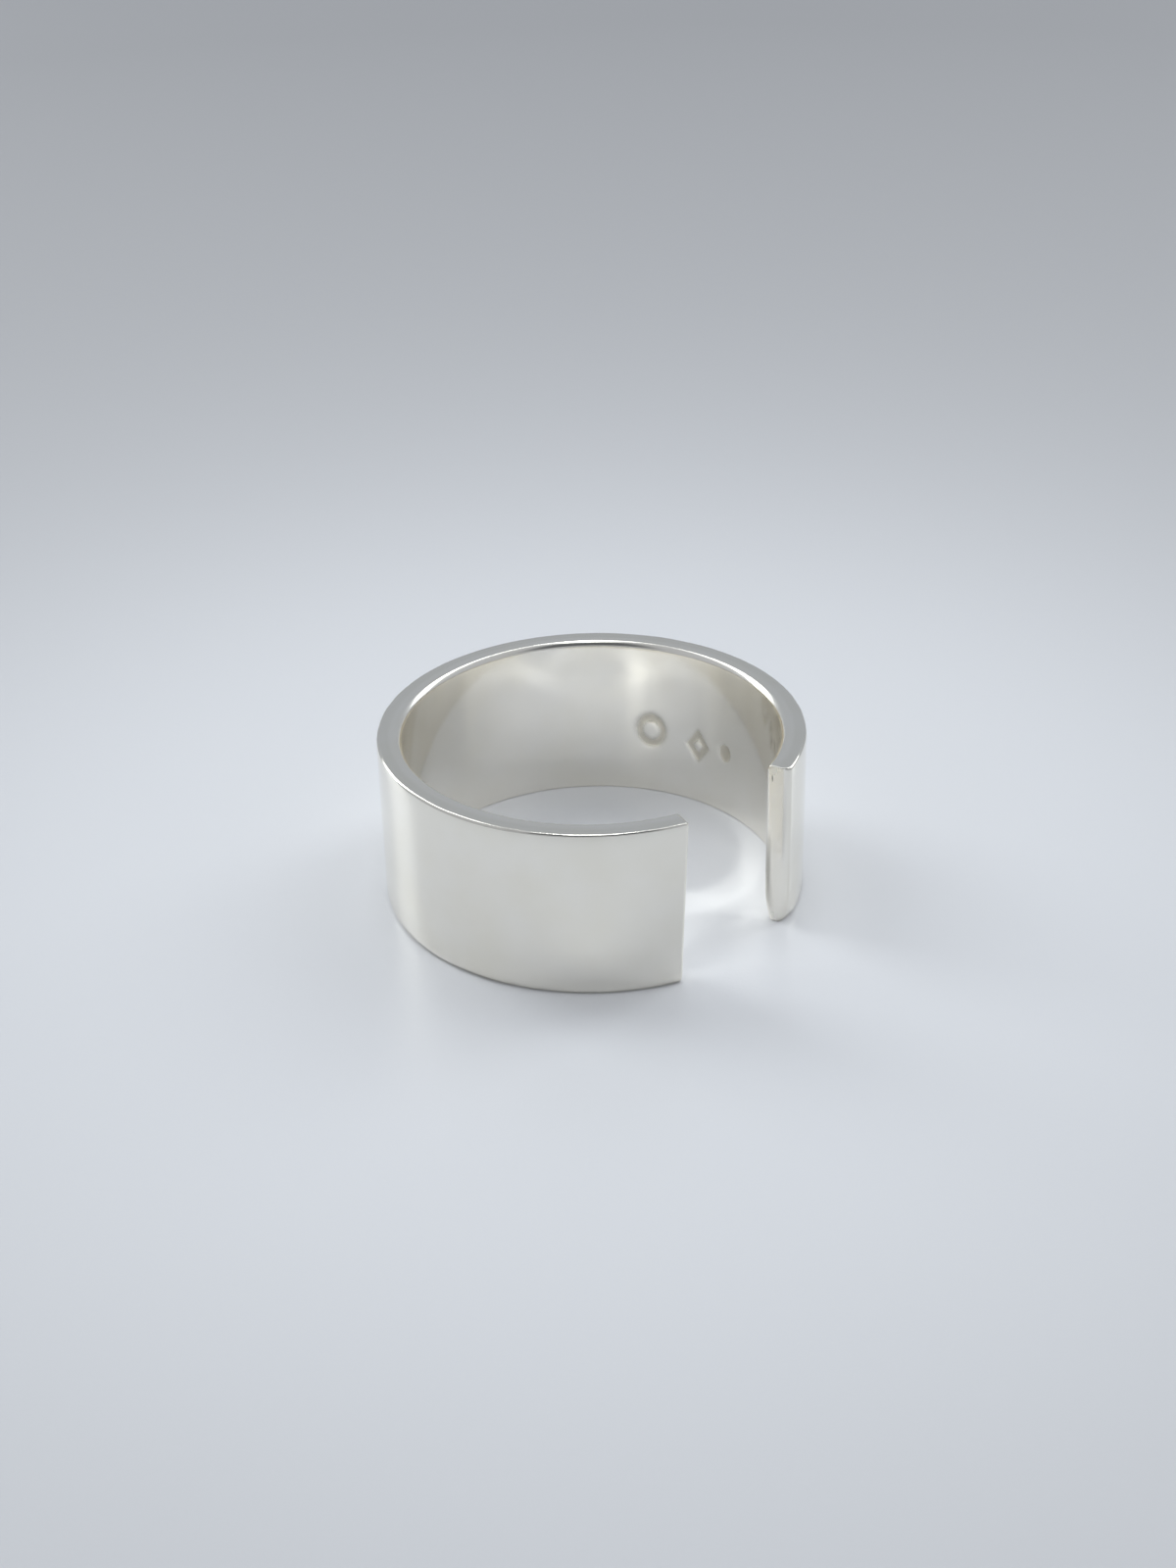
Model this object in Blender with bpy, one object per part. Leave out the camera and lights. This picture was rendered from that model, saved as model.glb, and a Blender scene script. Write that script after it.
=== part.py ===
"""A wide open band ring of polished silver, lying on its lower rim.

The real ring is one strip of flat metal: it is cut to length, softened along every edge
and bent round until its two ends stand a gap apart. It is modelled in the same order.
The straight strip has X along its length, Y from its outer face into its thickness and Z
across its width. Bending turns X into the way round, with the ring's axis on Z and the
camera's side at -Y.
"""
import math

import bmesh
import bpy

MM = 0.001

# Driving sizes, in metres
OUTER_DIAMETER = 20.6 * MM
WALL_THICKNESS = 1.2 * MM
BAND_WIDTH = 8.5 * MM
GAP_WIDTH = 6.8 * MM  # straight across, between the ends' outer faces
GAP_DIRECTION = math.radians(43.2)  # the gap's middle, from the front (-Y) towards +X
FRONT_END_LEAN = 0.25 * MM  # how far the front end's cut draws back at its foot

# Softened edges, in metres
OUTER_EDGE_RADIUS = 0.15 * MM
INNER_ROLL_DEPTH = 0.22 * MM  # taken off the wall's inner side at the rims
INNER_ROLL_HEIGHT = 0.9 * MM  # how far down the inner side the roll reaches
END_EDGE_RADIUS = 0.2 * MM

# How finely the round shapes are cut
STEP_ROUND_THE_RING = math.radians(3.0)
STEPS_IN_OUTER_EDGE = 4
STEPS_IN_INNER_ROLL = 6
STEPS_IN_END_EDGE = 3
SHARP_ANGLE = math.radians(35.0)

# Polished silver, as linear colour
SILVER_COLOUR = (0.62, 0.61, 0.58, 1.0)
SILVER_ROUGHNESS = 0.16

QUARTER_TURN = math.pi / 2


def softened_corner(depth, height, steps):
    """The corner's points, as how far each lies in from the two faces that it joins.

    The corner is a quarter of an ellipse that starts level with the rim and ends level
    with the wall. Its points are spaced for equal turns of the surface.
    """
    points = []
    for step in range(steps + 1):
        slope = QUARTER_TURN * step / steps
        turn = math.atan2(depth * math.sin(slope), height * math.cos(slope))
        points.append((depth * (1.0 - math.sin(turn)), height * (1.0 - math.cos(turn))))
    return points


def strip_section(drawn_in):
    """The strip's outline across its length, with every face moved in by the same amount."""
    outer = softened_corner(OUTER_EDGE_RADIUS, OUTER_EDGE_RADIUS, STEPS_IN_OUTER_EDGE)
    inner = softened_corner(INNER_ROLL_DEPTH, INNER_ROLL_HEIGHT, STEPS_IN_INNER_ROLL)
    outside, inside = drawn_in, WALL_THICKNESS - drawn_in
    foot, head = drawn_in, BAND_WIDTH - drawn_in
    outline = [(outside + y, foot + z) for y, z in outer]
    outline += [(outside + y, head - z) for y, z in reversed(outer)]
    outline += [(inside - y, head - z) for y, z in inner]
    outline += [(inside - y, foot + z) for y, z in reversed(inner)]
    return outline


def gap_angle():
    return 2.0 * math.asin(GAP_WIDTH / OUTER_DIAMETER)


def strip_length():
    """Measured along the outer face, which keeps its length as the strip is bent."""
    return (2.0 * math.pi - gap_angle()) * OUTER_DIAMETER / 2.0


def stations():
    """Places along the strip, each with how far its section is drawn in there."""
    length = strip_length()
    softened = []
    for step in range(STEPS_IN_END_EDGE + 1):
        turn = QUARTER_TURN * step / STEPS_IN_END_EDGE
        along = END_EDGE_RADIUS * (1.0 - math.sin(turn))
        drawn_in = END_EDGE_RADIUS * (1.0 - math.cos(turn))
        softened.append((along, drawn_in))
    plain = length - 2.0 * END_EDGE_RADIUS
    count = math.ceil(2.0 * plain / OUTER_DIAMETER / STEP_ROUND_THE_RING)
    between = [(END_EDGE_RADIUS + plain * step / count, 0.0) for step in range(1, count)]
    first = sorted(softened)
    last = [(length - along, drawn_in) for along, drawn_in in reversed(first)]
    return first + between + last


def strip_outline(along, drawn_in):
    """One section of the straight strip, in place.

    The lean of the front end's cut is shared out evenly along the strip.
    """
    share = along / strip_length()
    outline = []
    for y, z in strip_section(drawn_in):
        lean = FRONT_END_LEAN * share * (1.0 - z / BAND_WIDTH)
        outline.append((along - lean, y, z))
    return outline


def extrude_to(mesh, end_face, outline):
    """Extrudes the strip's end face and moves the new one to the next section."""
    grown = bmesh.ops.extrude_face_region(mesh, geom=[end_face])["geom"]
    new_face = next(item for item in grown if isinstance(item, bmesh.types.BMFace))
    for vertex, place in zip(new_face.verts, outline):
        vertex.co = place
    bmesh.ops.delete(mesh, geom=[end_face], context="FACES_ONLY")
    return new_face


def straight_strip():
    mesh = bmesh.new()
    places = stations()
    corners = [mesh.verts.new(place) for place in strip_outline(*places[0])]
    face = mesh.faces.new(corners)
    for place in places[1:]:
        face = extrude_to(mesh, face, strip_outline(*place))
    mesh.faces.new(corners)
    return mesh


def bend_round(mesh):
    """Bends the strip round the Z axis, from the gap's far side on to its front side."""
    outer_radius = OUTER_DIAMETER / 2.0
    start = GAP_DIRECTION + gap_angle() / 2.0
    for vertex in mesh.verts:
        angle = start + vertex.co.x / outer_radius
        radius = outer_radius - vertex.co.y
        vertex.co = (radius * math.sin(angle), -radius * math.cos(angle), vertex.co.z)


def polished_silver():
    material = bpy.data.materials.new("polished_silver")
    material.use_nodes = True
    shader = material.node_tree.nodes["Principled BSDF"]
    shader.inputs["Base Color"].default_value = SILVER_COLOUR
    shader.inputs["Roughness"].default_value = SILVER_ROUGHNESS
    shader.inputs["Metallic"].default_value = 1.0
    return material


def ring_band():
    strip = straight_strip()
    bend_round(strip)
    bmesh.ops.recalc_face_normals(strip, faces=strip.faces)
    mesh = bpy.data.meshes.new("ring_band")
    strip.to_mesh(mesh)
    strip.free()
    mesh.shade_smooth()
    mesh.set_sharp_from_angle(angle=SHARP_ANGLE)
    mesh.materials.append(polished_silver())
    return bpy.data.objects.new("ring_band", mesh)


def main():
    for item in list(bpy.data.objects):
        bpy.data.objects.remove(item, do_unlink=True)
    collection = bpy.data.collections.new("wide_open_band_ring")
    bpy.context.scene.collection.children.link(collection)
    collection.objects.link(ring_band())


main()
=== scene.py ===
"""A wide open band ring of polished sterling silver, lying on a pale floor in soft studio light.

The band is made as the real one is: a flat strip with softened edges is laid straight, its
ends are eased, its inner side is punched, and it is bent round until the ends stand a gap
apart. Then it gets the slight unevenness of hand polishing.
"""

import math

import bmesh
import bpy
from mathutils import Matrix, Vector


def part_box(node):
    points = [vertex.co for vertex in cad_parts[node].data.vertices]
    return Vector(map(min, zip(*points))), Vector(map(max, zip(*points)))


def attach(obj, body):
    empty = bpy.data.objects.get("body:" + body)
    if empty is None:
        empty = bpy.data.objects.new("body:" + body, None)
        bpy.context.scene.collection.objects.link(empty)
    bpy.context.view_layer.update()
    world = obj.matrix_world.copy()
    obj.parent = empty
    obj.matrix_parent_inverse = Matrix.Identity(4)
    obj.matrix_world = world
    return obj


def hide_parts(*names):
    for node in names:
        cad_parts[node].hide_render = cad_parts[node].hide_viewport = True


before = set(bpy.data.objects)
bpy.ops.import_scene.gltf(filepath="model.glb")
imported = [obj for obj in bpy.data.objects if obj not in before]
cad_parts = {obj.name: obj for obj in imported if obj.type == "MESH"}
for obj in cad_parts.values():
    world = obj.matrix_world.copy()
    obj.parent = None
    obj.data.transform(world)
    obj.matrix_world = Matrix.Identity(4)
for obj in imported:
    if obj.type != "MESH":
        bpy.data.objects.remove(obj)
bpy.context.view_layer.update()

MM = 0.001
QUARTER_TURN = math.pi / 2

# The band, from the frame: it lies on its lower rim with its axis on Z
_, band_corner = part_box("ring_band")
OUTER_RADIUS = band_corner.x
BAND_WIDTH = band_corner.z

# The strip's sizes that a box can't give, in metres
WALL_THICKNESS = 1.2 * MM
GAP_WIDTH = 6.7 * MM  # straight across, between the ends' outer faces
GAP_DIRECTION = math.radians(43.5)  # the gap's middle, from the front (-Y) towards +X
FRONT_END_LEAN = 0.33 * MM

# Its four corners. Each is worn off by a depth into the wall and a height up the side, in metres
OUTER_EDGE_RADIUS = 0.15 * MM
OUTER_FOOT_DEPTH = 0.2 * MM
OUTER_FOOT_HEIGHT = 0.4 * MM
INNER_ROLL_DEPTH = 0.22 * MM
INNER_ROLL_HEIGHT = 0.26 * MM
INNER_FOOT_RADIUS = 0.04 * MM

# How full a corner is: 2 is round, and less is nearer a flat with softened borders
ROUND = 2.0
FILED_NEARLY_FLAT = 1.4

# Near the front end the outer edge is sharper, down to this share of its radius. The reach
# takes in a little more than the corner, so that no point of it is left out
SHARP_EDGE_SHARE = 0.7
SHARP_EDGE_LENGTH = 10.0 * MM
CORNER_REACH = 1.05

# How far each end is rounded off, in metres. The far end is the one seen face on
FAR_OUTER_ROUNDING = 0.32 * MM
FRONT_OUTER_ROUNDING = 0.2 * MM
INNER_ROUNDING = 0.2 * MM
FOOT_ROUNDING = 0.12 * MM
FAR_HEAD_ROUNDING = 0.06 * MM
FRONT_HEAD_ROUNDING = 0.2 * MM

# The far end narrows towards its foot, in metres
FAR_FOOT_TAPER = 0.32 * MM
FAR_FOOT_TAPER_HEIGHT = 1.8 * MM
FAR_FOOT_TAPER_LENGTH = 1.2 * MM

# The outer edges are filed by hand, so they wander in a little along the strip, in metres
EDGE_WANDER = 0.05 * MM
EDGE_WANDER_LENGTH = 1.5 * MM
EDGE_WANDER_REACH = 0.4 * MM

# The waves that hand polishing leaves in the wall, in metres
UNEVENNESS = 0.006 * MM
UNEVENNESS_LENGTH = 4.0 * MM
SEED = 3.0

# How finely the band is cut: stations along the strip, metres between rows, steps in a corner
STATIONS = 560
OUTER_ROW = 0.5 * MM
RIM_ROW = 0.12 * MM
INNER_ROW = 0.11 * MM
STEPS_IN_EDGE = 6
STEPS_IN_INNER_ROLL = 10
END_FACE_INSET = 0.96  # each end face is shrunk to this share inside its border

# A nick in the far end's face, drawn only as painted shade and roughness, in metres
NICK_FROM_INSIDE = 0.2 * MM
NICK_FROM_TOP = 0.62 * MM
NICK_HALF_WIDTH = 0.07 * MM
NICK_HALF_HEIGHT = 0.22 * MM

# The painted shade along the lower half of the far end's inner edge, a dark reflection drawn into the
# colour, in metres
PAINTED_EDGE_SHADE_WIDTH = 0.24 * MM
PAINTED_EDGE_SHADE_LENGTH = 0.25 * MM
PAINTED_EDGE_SHADE_MIDDLE = 2.7 * MM
PAINTED_EDGE_SHADE_HALF_HEIGHT = 2.3 * MM
PAINTED_EDGE_SHADE_STRENGTH = 0.6

# Punch marks on the inner side, blank and generic. Each row: how far round from the front
# (degrees), how high its middle is, half length, half height (mm), the power of its outline
# (1 is a lozenge, 2 an oval), and the share of its half size that stands up again in its
# middle
MARKS = (
    {"round": 159.7, "up": 3.6, "half_length": 1.05, "half_height": 1.1, "power": 2.0, "middle": 0.6},
    {"round": 142.8, "up": 3.3, "half_length": 0.9, "half_height": 1.15, "power": 1.0, "middle": 0.45},
    {"round": 131.5, "up": 3.5, "half_length": 0.5, "half_height": 0.55, "power": 2.0, "middle": 0.0},
)
MARK_DEPTH = 0.05 * MM
MARK_WALL = 0.25  # share of a mark's half size over which its side slopes down
MARK_REACH = 0.9  # only what lies deeper in the wall than this share of it is punched
MARK_TARNISH = 0.55

# How deep into the strip the finish of an end's face goes, in metres
END_FACE_DEPTH = 0.05 * MM

# The sizes of the finish's patterns, in mm: the patches and streaks left by the polishing
# wheel, the sanding's grain and the dents in the ends
WHEEL_PATCH = 2.6
WHEEL_STREAK = 0.12
STREAK_STRETCH = 24.0  # times as long as it is wide
SANDING_GRAIN = 0.075
END_DENT = 0.8

# Where each finish sets in and where it's full: the inside across the wall, the rims and the
# rolled edges from mid-height to the rim, and the dull patches in the wheel's cloud
INSIDE_RANGE = (0.4375, 0.5625)
RIM_RANGE = (0.992, 0.99533)
ROLL_RANGE = (0.9, 0.95)
DULL_RANGE = (0.35, 0.975)

# How high the streaks, the sanding and the dents stand, in metres
STREAK_RELIEF = 0.0004 * MM
RIM_RELIEF = 0.004 * MM
MARK_RELIEF = 0.003 * MM
END_RELIEF = 0.02 * MM

# How rough the silver is where the wheel reached it best, and how much rougher elsewhere
POLISHED_ROUGHNESS = 0.07
INSIDE_ROUGHER = 0.045
RIM_ROUGHER = 0.12
ROLL_SANDED = 0.8  # the inner roll's share of the rims' sanding
END_ROUGHER = 0.14
MARK_ROUGHER = 0.25
NICK_ROUGHER = 0.3
WHEEL_UNEVENNESS = 0.04
LEAST_ROUGHNESS = 0.03

# The floor, in metres. Its colour holds painted light: past the reach of a painted pool of light it
# greys with painted shade, half way by the falloff length beyond that, and between the next two
# distances the painted shade fades and it turns pale again
FLOOR_RADIUS = 1.5
FLOOR_SIDES = 96
FLOOR_DROP = 0.01 * MM  # below the ring's foot, so that the two don't share a plane
PAINTED_POOL_REACH = 20.0 * MM
PAINTED_FALLOFF_LENGTH = 37.0 * MM
PAINTED_FALLOFF_FADES_FROM = 200.0 * MM
PAINTED_FALLOFF_FADES_BY = 600.0 * MM
FLOOR_ROUGHNESS = 0.32
FLOOR_GRAIN = 0.22 * MM
FLOOR_RELIEF = 0.006 * MM

# The soft lights all stand this far from the ring, in metres
SOFTBOX_DISTANCE = 320.0 * MM
SOFTBOX_WHITE = (0.94, 0.98, 1.0)

# The room's parts, by which way one looks. Back, forward and up go from 0 to 1, and each part
# sets in at the first number and is full at the second
WALL_BEHIND = (0.5, 0.75)
SPACE_IN_FRONT = (0.0, 0.25)
SPACE_NARROWING = 0.9  # how much of the sideways look is taken off the forward one
SPACE_OVERHEAD = (0.35, 0.55)
HORIZON = (0.125, 0.0)

# How many times light may bounce
LIGHT_BOUNCES = 16

# The camera that fits the photo. Its place is to the right, up and back in its own axes
SENSOR_WIDTH = 36.0  # mm
LENS_LENGTH = 53.76  # mm
CAMERA_TILT = math.radians(29.553)  # down
CAMERA_ROLL = math.radians(-1.369)
CAMERA_PLACE = (-0.3317 * MM, 4.601 * MM, 116.43 * MM)
NEAREST_SEEN = 1.0 * MM


def linear(hex_colour):
    """An sRGB hex colour as linear red, green, blue and alpha."""
    parts = [int(hex_colour[i : i + 2], 16) / 255 for i in (1, 3, 5)]
    return (*[p / 12.92 if p <= 0.04045 else ((p + 0.055) / 1.055) ** 2.4 for p in parts], 1.0)


def add(tree, kind, inputs=None, **settings):
    """Adds a node with its settings. Each input is a value, a socket or a Number."""
    node = tree.nodes.new(kind)
    for name, value in settings.items():
        setattr(node, name, value)
    for name, value in (inputs or {}).items():
        if isinstance(value, Number):
            value = value.socket
        if isinstance(value, bpy.types.NodeSocket):
            tree.links.new(value, node.inputs[name])
        else:
            node.inputs[name].default_value = value
    return node


class Number:
    """A number in a node tree. Reckoning with it adds nodes."""

    def __init__(self, tree, socket):
        self.tree = tree
        self.socket = socket

    def reckon(self, operation, first, second=0.0):
        node = add(self.tree, "ShaderNodeMath", {0: first, 1: second}, operation=operation)
        return Number(self.tree, node.outputs[0])

    def __add__(self, other):
        return self.reckon("ADD", self, other)

    __radd__ = __add__

    def __sub__(self, other):
        return self.reckon("SUBTRACT", self, other)

    def __rsub__(self, other):
        return self.reckon("SUBTRACT", other, self)

    def __mul__(self, other):
        return self.reckon("MULTIPLY", self, other)

    def __truediv__(self, other):
        return self.reckon("DIVIDE", self, other)

    def __pow__(self, other):
        return self.reckon("POWER", self, other)

    def __abs__(self):
        return self.reckon("ABSOLUTE", self)

    def __neg__(self):
        return self.reckon("MULTIPLY", self, -1.0)

    def least(self, other):
        return self.reckon("MINIMUM", self, other)

    def most(self, other):
        return self.reckon("MAXIMUM", self, other)

    def root(self):
        return self.reckon("SQRT", self)

    def sine(self):
        return self.reckon("SINE", self)

    def cosine(self):
        return self.reckon("COSINE", self)

    def above(self, other):
        return self.reckon("GREATER_THAN", self, other)

    def ramp(self, start, end):
        """0 up to the start and 1 past the end, with an even slope between."""
        return ((self - start) / (end - start)).most(0.0).least(1.0)


# Polished sterling silver


def new_material(name):
    """A material, with its node tree and its shader."""
    material = bpy.data.materials.new(name)
    material.use_nodes = True
    tree = material.node_tree
    return material, tree, tree.nodes["Principled BSDF"]


def blend(tree, share, first, second):
    """One colour turning into another as the share goes from 0 to 1."""
    node = tree.nodes.new("ShaderNodeMix")
    node.data_type = "RGBA"
    tree.links.new(share.socket, node.inputs["Factor"])
    for name, value in (("A", first), ("B", second)):
        socket = next(s for s in node.inputs if s.name == name and s.type == "RGBA")
        if isinstance(value, bpy.types.NodeSocket):
            tree.links.new(value, socket)
        else:
            socket.default_value = value
    return next(s for s in node.outputs if s.type == "RGBA")


def cloud(tree, spot, size_mm, detail=2.0, stretch=(1.0, 1.0, 1.0)):
    """Uneven patches of a size in mm, from 0 to 1, drawn out by the stretch."""
    shrink = [1.0 / part for part in stretch]
    scaled = add(tree, "ShaderNodeVectorMath", {0: spot, 1: shrink}, operation="MULTIPLY")
    settings = {"Vector": scaled.outputs[0], "Scale": 1.0 / (size_mm * MM), "Detail": detail}
    return Number(tree, add(tree, "ShaderNodeTexNoise", settings).outputs["Fac"])


def nick_mask(along, depth, height):
    """A small nick in the far end's face, near its inner top corner, darkened with painted shade, from
    0 to 1.
    """
    across = (depth - (WALL_THICKNESS - NICK_FROM_INSIDE)) / NICK_HALF_WIDTH
    up = (height - (BAND_WIDTH - NICK_FROM_TOP)) / NICK_HALF_HEIGHT
    outline = across * across + up * up
    return (1.0 - outline).most(0.0) * along.ramp(END_FACE_DEPTH, 0.0)


def painted_edge_shade(along, depth, height):
    """A thin line of painted shade down the far end's inner edge, on its lower half, a dark reflection
    drawn into the colour, from 0 to 1.
    """
    inner_edge = (WALL_THICKNESS - depth).ramp(PAINTED_EDGE_SHADE_WIDTH, 0.0)
    near_end = along.ramp(PAINTED_EDGE_SHADE_LENGTH, 0.0)
    from_middle = abs(height - PAINTED_EDGE_SHADE_MIDDLE) / PAINTED_EDGE_SHADE_HALF_HEIGHT
    return inner_edge * near_end * (1.0 - from_middle * from_middle).most(0.0)


def polished_silver():
    """Sterling silver, filed, sanded and polished by hand, then worn a little.

    The faces are a warm white mirror with clouded patches left by the polishing wheel. The
    rims keep the fine sanding they were trued with, so they look greyer and grainier, and the
    punched marks are matt and a little tarnished, since a wheel doesn't reach into them.
    """
    material, tree, shader = new_material("polished_sterling_silver")
    spot = add(tree, "ShaderNodeAttribute", attribute_name="strip_place").outputs["Vector"]
    parts = add(tree, "ShaderNodeSeparateXYZ", {0: spot})
    along, depth, height = (Number(tree, part) for part in parts.outputs)
    in_mark = Number(tree, add(tree, "ShaderNodeAttribute", attribute_name="punched").outputs["Fac"])
    inside = (depth / WALL_THICKNESS).ramp(*INSIDE_RANGE)
    from_middle = abs(height / BAND_WIDTH - 0.5) * 2.0
    rim = from_middle.ramp(*RIM_RANGE)
    rolled = from_middle.ramp(*ROLL_RANGE) * inside
    end_face = along.ramp(END_FACE_DEPTH, 0.0)

    wheel = cloud(tree, spot, WHEEL_PATCH)
    streaks = cloud(tree, spot, WHEEL_STREAK, detail=3.0, stretch=(STREAK_STRETCH, 1.0, 1.0))
    sanding = cloud(tree, spot, SANDING_GRAIN)
    # Each tone is a little paler inside and on the ends than outside and on the rims: painted light, a
    # lit copy of the same silver
    painted_light_share = inside.most(end_face)
    bright = blend(tree, painted_light_share, linear("#f1eee6"), linear("#f4f1ea"))
    dull = blend(tree, painted_light_share, linear("#ece8dc"), linear("#efebe0"))
    tone = blend(tree, wheel.ramp(*DULL_RANGE), bright, dull)
    tone = blend(tree, in_mark * MARK_TARNISH, tone, linear("#b5ad9a"))
    # Painted shade: the nick is darkened where a small pit would lie in shade
    nick = nick_mask(along, depth, height)
    # Painted shade: the far end's inner edge is darkened as a dark reflection would show it, and it and
    # the nick are blended towards grey below
    dark = nick.most(painted_edge_shade(along, depth, height) * PAINTED_EDGE_SHADE_STRENGTH)
    tone = blend(tree, dark, tone, linear("#7d7a73"))
    tree.links.new(tone, shader.inputs["Base Color"])

    rough = POLISHED_ROUGHNESS + inside * INSIDE_ROUGHER
    rough = rough + rim.most(rolled * ROLL_SANDED) * RIM_ROUGHER
    rough = rough + end_face * END_ROUGHER + in_mark * MARK_ROUGHER + nick * NICK_ROUGHER
    rough = rough + (wheel - 0.5) * WHEEL_UNEVENNESS + (streaks - 0.5) * WHEEL_UNEVENNESS
    tree.links.new(rough.most(LEAST_ROUGHNESS).socket, shader.inputs["Roughness"])

    dents = cloud(tree, spot, END_DENT, detail=1.0)
    relief = streaks * STREAK_RELIEF + sanding * rim * RIM_RELIEF
    relief = relief + sanding * in_mark * MARK_RELIEF + dents * end_face * END_RELIEF
    bump = add(tree, "ShaderNodeBump", {"Height": relief, "Distance": 1.0, "Strength": 1.0})
    tree.links.new(bump.outputs[0], shader.inputs["Normal"])
    shader.inputs["Metallic"].default_value = 1.0
    return material


# The band


def softened_corner(depth, height, steps, fullness=ROUND):
    """A corner worn from level with the rim to level with the wall.

    It's a quarter of an ellipse when round, and nearer a flat with soft borders when its
    fullness is less. Each point is how far it lies in from the two faces, and the points are
    spaced for equal turns of the surface.
    """
    bend = 2.0 / fullness
    points = []
    for step in range(steps + 1):
        slope = QUARTER_TURN * step / steps
        steepness = (math.tan(slope) * depth / height) ** (1.0 / (2.0 - bend))
        turn = math.atan(steepness)
        in_from_wall = depth * (1.0 - math.sin(turn) ** bend)
        in_from_rim = height * (1.0 - math.cos(turn) ** bend)
        points.append((in_from_wall, in_from_rim))
    return points


def rows_between(start, end, spacing):
    """Points on the straight side from one corner to the next, without its two ends."""
    count = max(1, round(math.dist(start, end) / spacing))
    shares = [step / count for step in range(1, count)]
    return [tuple(a + (b - a) * share for a, b in zip(start, end)) for share in shares]


def strip_section():
    """The outline across the strip, as depth from the outer face and height from the foot."""
    outer = softened_corner(OUTER_EDGE_RADIUS, OUTER_EDGE_RADIUS, STEPS_IN_EDGE)
    outer_foot = softened_corner(OUTER_FOOT_DEPTH, OUTER_FOOT_HEIGHT, STEPS_IN_EDGE)
    inner = softened_corner(
        INNER_ROLL_DEPTH, INNER_ROLL_HEIGHT, STEPS_IN_INNER_ROLL, FILED_NEARLY_FLAT
    )
    inner_foot = softened_corner(INNER_FOOT_RADIUS, INNER_FOOT_RADIUS, STEPS_IN_EDGE)
    foot_inner = [(WALL_THICKNESS - y, z) for y, z in inner_foot]
    head_inner = [(WALL_THICKNESS - y, BAND_WIDTH - z) for y, z in reversed(inner)]
    head_outer = [(y, BAND_WIDTH - z) for y, z in outer]
    foot_outer = list(reversed(outer_foot))
    outline = []
    corners = (foot_inner, head_inner, head_outer, foot_outer)
    spacings = (INNER_ROW, RIM_ROW, OUTER_ROW, RIM_ROW)
    for index, (corner, spacing) in enumerate(zip(corners, spacings)):
        following = corners[(index + 1) % len(corners)]
        outline += corner + rows_between(corner[-1], following[0], spacing)
    return outline


def section_mesh():
    """The outline as a closed loop. A sweep turns a section half round, so it's given turned."""
    points = [(-y, -z, 0.0) for y, z in strip_section()]
    edges = [(i, (i + 1) % len(points)) for i in range(len(points))]
    mesh = bpy.data.meshes.new("strip_section")
    mesh.from_pydata(points, edges, [])
    return mesh


def named_inputs(tree, values):
    """Gives the tree an input for each size. Returns their node, and each as a number."""
    for name, value in values.items():
        kind = "NodeSocketInt" if isinstance(value, int) else "NodeSocketFloat"
        tree.interface.new_socket(name, in_out="INPUT", socket_type=kind)
    group = add(tree, "NodeGroupInput")
    return group, {name: Number(tree, group.outputs[name]) for name in values}


def place(tree):
    """The parts of the position at hand: along, depth and height."""
    position = add(tree, "GeometryNodeInputPosition")
    parts = add(tree, "ShaderNodeSeparateXYZ", {0: position.outputs[0]})
    return [Number(tree, part) for part in parts.outputs]


def moved(tree, geometry, x, y, z):
    """The geometry with each point set at a place reckoned for it."""
    position = add(tree, "ShaderNodeCombineXYZ", {0: x, 1: y, 2: z})
    node = add(tree, "GeometryNodeSetPosition", {"Geometry": geometry, "Position": position.outputs[0]})
    return node.outputs[0]


def path_stations(tree, size):
    """A straight path with its stations drawn closer together towards the ends."""
    line = add(tree, "GeometryNodeCurvePrimitiveLine", {"End": (1.0, 0.0, 0.0)})
    cut = add(tree, "GeometryNodeResampleCurve", {"Curve": line.outputs[0], "Count": size["Stations"]})
    upright = add(tree, "GeometryNodeSetCurveNormal", {"Curve": cut.outputs[0]}, mode="Z_UP")
    factor = Number(tree, add(tree, "GeometryNodeSplineParameter").outputs["Factor"])
    crowded = ((factor * 2.0 - 1.0) * QUARTER_TURN).sine()
    along = (crowded + 1.0) * 0.5 * size["Length"]
    return moved(tree, upright.outputs[0], along, 0.0, 0.0)


def swept_strip(tree, section, path):
    """The section swept along the path, its two end faces edged with a narrow border."""
    outline = add(tree, "GeometryNodeMeshToCurve", {"Mesh": section})
    sweep = add(
        tree,
        "GeometryNodeCurveToMesh",
        {"Curve": path, "Profile Curve": outline.outputs[0], "Fill Caps": True},
    )
    normal = add(tree, "ShaderNodeSeparateXYZ", {0: add(tree, "GeometryNodeInputNormal").outputs[0]})
    is_end = abs(Number(tree, normal.outputs[0])).above(0.5)
    border = add(
        tree,
        "GeometryNodeExtrudeMesh",
        {"Mesh": sweep.outputs[0], "Selection": is_end, "Offset Scale": 0.0, "Individual": False},
    )
    inset = add(
        tree,
        "GeometryNodeScaleElements",
        {
            "Geometry": border.outputs["Mesh"],
            "Selection": border.outputs["Top"],
            "Scale": END_FACE_INSET,
        },
    )
    return inset.outputs[0]


def drawn_in(radius, distance):
    """How far a quarter round of a radius draws a side in, at a distance from the end."""
    closeness = distance.ramp(radius, 0.0)
    return radius * (1.0 - (1.0 - closeness * closeness).root())


def sharpened_edge(tree, strip, size):
    """Draws the outer head corner's rounding together about its edge, near the front end."""
    x, y, z = place(tree)
    from_head = size["Band Width"] - z
    corner = size["Outer Edge Radius"] * CORNER_REACH
    in_corner = corner.above(y) * corner.above(from_head)
    from_front = size["Length"] - x
    near_front = from_front.ramp(size["Sharp Edge Length"], size["Sharp Edge Length"] * 0.5)
    share = 1.0 - in_corner * near_front * (1.0 - size["Sharp Edge Share"])
    return moved(tree, strip, x, y * share, size["Band Width"] - from_head * share)


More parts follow.
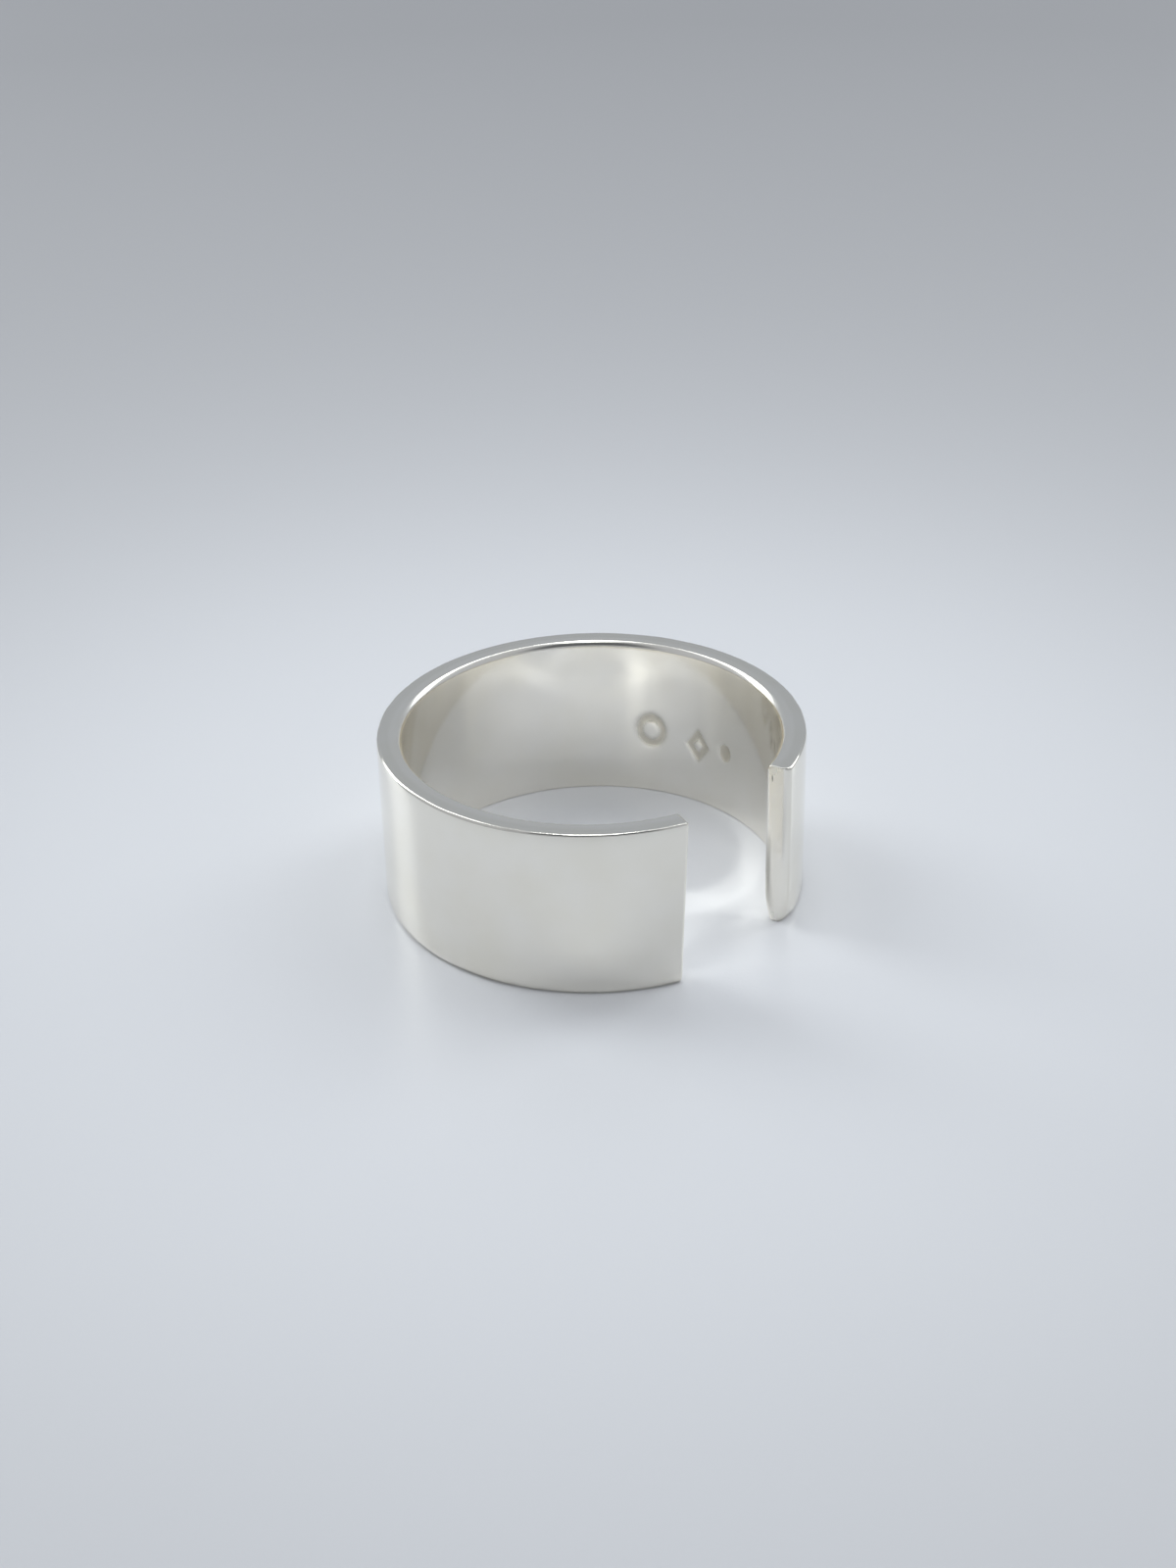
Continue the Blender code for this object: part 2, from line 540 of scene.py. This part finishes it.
def filed_edges(tree, strip, size):
    """Lets the outer corners at the head and foot wander in, as hand filing leaves them."""
    x, y, z = place(tree)
    noise = add(
        tree,
        "ShaderNodeTexNoise",
        {"W": x / size["Edge Wander Length"] + size["Seed"], "Scale": 1.0, "Detail": 1.0},
        noise_dimensions="1D",
    )
    reach = size["Edge Wander Reach"]
    near_head = (size["Band Width"] - z).ramp(reach, 0.0)
    near_foot = z.ramp(reach, 0.0)
    near_outside = y.ramp(reach, 0.0)
    share = (near_head + near_foot) * near_outside
    wander = Number(tree, noise.outputs["Fac"]) * share * size["Edge Wander"]
    return moved(tree, strip, x, y + wander, z)


def eased_ends(tree, strip, size):
    """Draws the strip's sides in towards each end, as a file and polish would.

    The far end also narrows towards its foot, and the front end leans a little.
    """
    x, y, z = place(tree)
    from_far, from_front = x, size["Length"] - x
    nearest = from_far.least(from_front)
    outer = drawn_in(size["Far Outer Rounding"], from_far)
    outer = outer + drawn_in(size["Front Outer Rounding"], from_front)
    inner = drawn_in(size["Inner Rounding"], nearest)
    foot = drawn_in(size["Foot Rounding"], nearest)
    head = drawn_in(size["Far Head Rounding"], from_far)
    head = head + drawn_in(size["Front Head Rounding"], from_front)
    wall, width = size["Wall Thickness"], size["Band Width"]
    low = z.ramp(size["Far Foot Taper Height"], 0.0)
    close = from_far.ramp(size["Far Foot Taper Length"], 0.0)
    taper = size["Far Foot Taper"] * low * low * close
    outer, inner = outer + taper, inner + taper
    y_eased = outer + y * (1.0 - (outer + inner) / wall)
    z_eased = foot + z * (1.0 - (foot + head) / width)
    lean = size["Front End Lean"] * (x / size["Length"]) * (1.0 - z / width)
    return moved(tree, strip, x - lean, y_eased, z_eased)


def mark_depth(tree, size, mark, x, z):
    """How deep one punch has sunk at a place on the strip, from 0 to 1."""
    at = (math.radians(mark["round"]) - size["Start Angle"]) * size["Outer Radius"]
    across = abs(x - at) / (mark["half_length"] * MM)
    up = abs(z - mark["up"] * MM) / (mark["half_height"] * MM)
    power = mark["power"]
    outline = (across**power + up**power) ** (1.0 / power)
    sunk = outline.ramp(1.0, 1.0 - MARK_WALL)
    if mark["middle"]:
        sunk = sunk * outline.ramp(mark["middle"] - MARK_WALL, mark["middle"])
    return sunk


def punched(tree, strip, size):
    """Sinks the marks into the inner side and keeps how deep, for the finish."""
    x, y, z = place(tree)
    depth = None
    for mark in MARKS:
        sunk = mark_depth(tree, size, mark, x, z)
        depth = sunk if depth is None else depth.most(sunk)
    depth = depth * y.above(size["Wall Thickness"] * MARK_REACH)
    kept = add(
        tree,
        "GeometryNodeStoreNamedAttribute",
        {"Geometry": strip, "Name": "punched", "Value": depth},
        data_type="FLOAT",
        domain="POINT",
    )
    return moved(tree, kept.outputs[0], x, y - depth * size["Mark Depth"], z)


def kept_place(tree, strip):
    """Keeps each point's place on the straight strip, for patterns that follow the metal."""
    position = add(tree, "GeometryNodeInputPosition")
    kept = add(
        tree,
        "GeometryNodeStoreNamedAttribute",
        {"Geometry": strip, "Name": "strip_place", "Value": position.outputs[0]},
        data_type="FLOAT_VECTOR",
        domain="POINT",
    )
    return kept.outputs[0]


def bent_round(tree, strip, size):
    """Bends the strip round the Z axis, from the gap's far side on to its front side."""
    x, y, z = place(tree)
    angle = size["Start Angle"] + x / size["Outer Radius"]
    radius = size["Outer Radius"] - y
    return moved(tree, strip, radius * angle.sine(), -(radius * angle.cosine()), z)


def hand_polished(tree, band, size):
    """Moves the wall in and out by a few thousandths of a millimetre, in broad waves."""
    waves = add(
        tree,
        "ShaderNodeTexNoise",
        {"Scale": 1.0 / UNEVENNESS_LENGTH, "Detail": 1.0, "W": size["Seed"]},
        noise_dimensions="4D",
    )
    height = (Number(tree, waves.outputs["Fac"]) - 0.5) * size["Unevenness"]
    x, y, z = place(tree)
    stretch = height / (x * x + y * y).root() + 1.0
    return moved(tree, band, x * stretch, y * stretch, z)


def band_tree(sizes, material):
    """The steps that turn the section into the band, with an input for each size."""
    tree = bpy.data.node_groups.new("bent_strip_band", "GeometryNodeTree")
    tree.interface.new_socket("Section", in_out="INPUT", socket_type="NodeSocketGeometry")
    tree.interface.new_socket("Band", in_out="OUTPUT", socket_type="NodeSocketGeometry")
    group, size = named_inputs(tree, sizes)
    strip = swept_strip(tree, group.outputs["Section"], path_stations(tree, size))
    strip = kept_place(tree, strip)
    strip = sharpened_edge(tree, strip, size)
    strip = filed_edges(tree, strip, size)
    strip = eased_ends(tree, strip, size)
    strip = punched(tree, strip, size)
    band = bent_round(tree, strip, size)
    band = hand_polished(tree, band, size)
    smooth = add(tree, "GeometryNodeSetShadeSmooth", {"Geometry": band, "Shade Smooth": True})
    real = add(tree, "GeometryNodeRealizeInstances", {"Geometry": smooth.outputs[0]})
    finished = add(tree, "GeometryNodeSetMaterial", {"Geometry": real.outputs[0], "Material": material})
    output = add(tree, "NodeGroupOutput")
    tree.links.new(finished.outputs[0], output.inputs["Band"])
    return tree


def ring_band():
    """The whole band as one plain mesh."""
    gap_angle = 2.0 * math.asin(GAP_WIDTH / 2.0 / OUTER_RADIUS)
    sizes = {
        "Length": (2.0 * math.pi - gap_angle) * OUTER_RADIUS,
        "Outer Radius": OUTER_RADIUS,
        "Wall Thickness": WALL_THICKNESS,
        "Band Width": BAND_WIDTH,
        "Start Angle": GAP_DIRECTION + gap_angle / 2.0,
        "Front End Lean": FRONT_END_LEAN,
        "Far Outer Rounding": FAR_OUTER_ROUNDING,
        "Front Outer Rounding": FRONT_OUTER_ROUNDING,
        "Inner Rounding": INNER_ROUNDING,
        "Foot Rounding": FOOT_ROUNDING,
        "Far Head Rounding": FAR_HEAD_ROUNDING,
        "Front Head Rounding": FRONT_HEAD_ROUNDING,
        "Far Foot Taper": FAR_FOOT_TAPER,
        "Far Foot Taper Height": FAR_FOOT_TAPER_HEIGHT,
        "Far Foot Taper Length": FAR_FOOT_TAPER_LENGTH,
        "Outer Edge Radius": OUTER_EDGE_RADIUS,
        "Sharp Edge Share": SHARP_EDGE_SHARE,
        "Sharp Edge Length": SHARP_EDGE_LENGTH,
        "Edge Wander": EDGE_WANDER,
        "Edge Wander Length": EDGE_WANDER_LENGTH,
        "Edge Wander Reach": EDGE_WANDER_REACH,
        "Mark Depth": MARK_DEPTH,
        "Unevenness": UNEVENNESS,
        "Seed": SEED,
        "Stations": STATIONS,
    }
    tree = band_tree(sizes, polished_silver())
    source = bpy.data.objects.new("band_source", section_mesh())
    bpy.context.scene.collection.objects.link(source)
    nodes = source.modifiers.new("bent_strip", "NODES")
    nodes.node_group = tree
    for item in tree.interface.items_tree:
        if item.in_out == "INPUT" and item.name in sizes:
            nodes[item.identifier] = sizes[item.name]
    evaluated = source.evaluated_get(bpy.context.evaluated_depsgraph_get())
    mesh = bpy.data.meshes.new_from_object(evaluated)
    bpy.data.objects.remove(source)
    mesh.name = "polished_band"
    band = bpy.data.objects.new("polished_band", mesh)
    bpy.context.scene.collection.objects.link(band)
    return band


# The studio


def satin_board():
    """A pale board with a satin skin, its fine grain only seen where light glances off it.

    It greys away from the ring, towards the top of the view, as painted shade where the light falls
    off, and is pale again far off.
    """
    material, tree, shader = new_material("satin_board")
    spot = add(tree, "ShaderNodeTexCoord").outputs["Object"]
    parts = add(tree, "ShaderNodeSeparateXYZ", {0: spot})
    x, y = (Number(tree, parts.outputs[i]) for i in (0, 1))
    away = (x * x + y * y).root()
    # Painted light: a pale pool of light near the ring, and painted shade where it falls off
    past_painted_pool = ((away - PAINTED_POOL_REACH) / PAINTED_FALLOFF_LENGTH).most(0.0) ** 2.0
    painted_falloff = past_painted_pool / (past_painted_pool + 1.0) * (1.0 - away.ramp(PAINTED_FALLOFF_FADES_FROM, PAINTED_FALLOFF_FADES_BY))
    tone = blend(tree, painted_falloff, linear("#e3e4e7"), linear("#a9a9ab"))
    tree.links.new(tone, shader.inputs["Base Color"])
    shader.inputs["Roughness"].default_value = FLOOR_ROUGHNESS
    grain = add(
        tree,
        "ShaderNodeTexNoise",
        {"Vector": spot, "Scale": 1.0 / FLOOR_GRAIN, "Detail": 2.0},
    )
    bump = add(
        tree,
        "ShaderNodeBump",
        {"Height": grain.outputs["Fac"], "Distance": FLOOR_RELIEF, "Strength": 1.0},
    )
    tree.links.new(bump.outputs[0], shader.inputs["Normal"])
    return material


def floor():
    """A round board under the ring, wide enough that its edge is far out of sight."""
    mesh = bpy.data.meshes.new("studio_floor")
    bm = bmesh.new()
    bmesh.ops.create_circle(bm, cap_ends=True, segments=FLOOR_SIDES, radius=FLOOR_RADIUS)
    bm.to_mesh(mesh)
    bm.free()
    mesh.materials.append(satin_board())
    piece = bpy.data.objects.new("studio_floor", mesh)
    piece.location.z = -FLOOR_DROP
    bpy.context.scene.collection.objects.link(piece)
    return piece


def softbox(name, azimuth, elevation, size_mm, radiance):
    """A rectangular soft light that faces the ring. Its angles are in degrees."""
    light = bpy.data.lights.new(name, "AREA")
    light.shape = "RECTANGLE"
    light.size = size_mm[0] * MM
    light.size_y = size_mm[1] * MM
    light.color = SOFTBOX_WHITE
    light.energy = radiance * math.pi * light.size * light.size_y
    lamp = bpy.data.objects.new(name, light)
    turn, rise = math.radians(azimuth), math.radians(elevation)
    away = (math.sin(turn) * math.cos(rise), -math.cos(turn) * math.cos(rise), math.sin(rise))
    lamp.location = [part * SOFTBOX_DISTANCE for part in away]
    lamp.rotation_euler = lamp.location.to_track_quat("Z", "Y").to_euler()
    bpy.context.scene.collection.objects.link(lamp)


def studio_room():
    """A pale room with a grey wall behind the ring, and a dark space high up in front of it.

    Towards the horizon it's an even grey, near what the floor shows far off.
    """
    world = bpy.data.worlds.new("studio_room")
    world.use_nodes = True
    tree = world.node_tree
    way = add(tree, "ShaderNodeTexCoord")
    parts = add(tree, "ShaderNodeSeparateXYZ", {0: way.outputs["Generated"]})
    side, back, up = (Number(tree, part) for part in parts.outputs)
    behind = back.ramp(*WALL_BEHIND)
    in_front = (-back - abs(side) * SPACE_NARROWING).ramp(*SPACE_IN_FRONT)
    overhead = up.ramp(*SPACE_OVERHEAD)
    horizon = up.ramp(*HORIZON)
    tone = blend(tree, behind, linear("#b5b8bd"), linear("#a9aeb5"))
    tone = blend(tree, in_front * overhead, tone, linear("#505357"))
    tone = blend(tree, horizon, tone, linear("#a0a4aa"))
    tree.links.new(tone, tree.nodes["Background"].inputs["Color"])
    bpy.context.scene.world = world


def studio_light():
    """One soft light at the back right, one at the back left, one overhead, and the room."""
    softbox("right_softbox", azimuth=122.0, elevation=42.0, size_mm=(102.0, 346.0), radiance=2.36)
    softbox("left_softbox", azimuth=-123.5, elevation=34.0, size_mm=(115.0, 358.0), radiance=2.92)
    softbox("top_softbox", azimuth=180.0, elevation=88.0, size_mm=(77.0, 256.0), radiance=4.32)
    studio_room()


def camera():
    """The photo's viewing angle: a little above the ring, looking down at it."""
    data = bpy.data.cameras.new("camera")
    data.sensor_width = SENSOR_WIDTH
    data.lens = LENS_LENGTH
    data.clip_start = NEAREST_SEEN
    tilt = Matrix.Rotation(QUARTER_TURN - CAMERA_TILT, 4, "X")
    roll = Matrix.Rotation(CAMERA_ROLL, 4, "Z")
    lens = bpy.data.objects.new("camera", data)
    lens.matrix_world = tilt @ roll @ Matrix.Translation(CAMERA_PLACE)
    bpy.context.scene.collection.objects.link(lens)
    bpy.context.scene.camera = lens


band = ring_band()
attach(band, "root")
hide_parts("ring_band")
floor()
studio_light()
camera()
bpy.context.scene.view_settings.view_transform = "Standard"
# The light that the silver throws on the floor keeps its edges, and light goes on from one
# side of the bore to the other until it's spent
bpy.context.scene.cycles.blur_glossy = 0.0
bpy.context.scene.cycles.max_bounces = LIGHT_BOUNCES
bpy.context.scene.cycles.glossy_bounces = LIGHT_BOUNCES
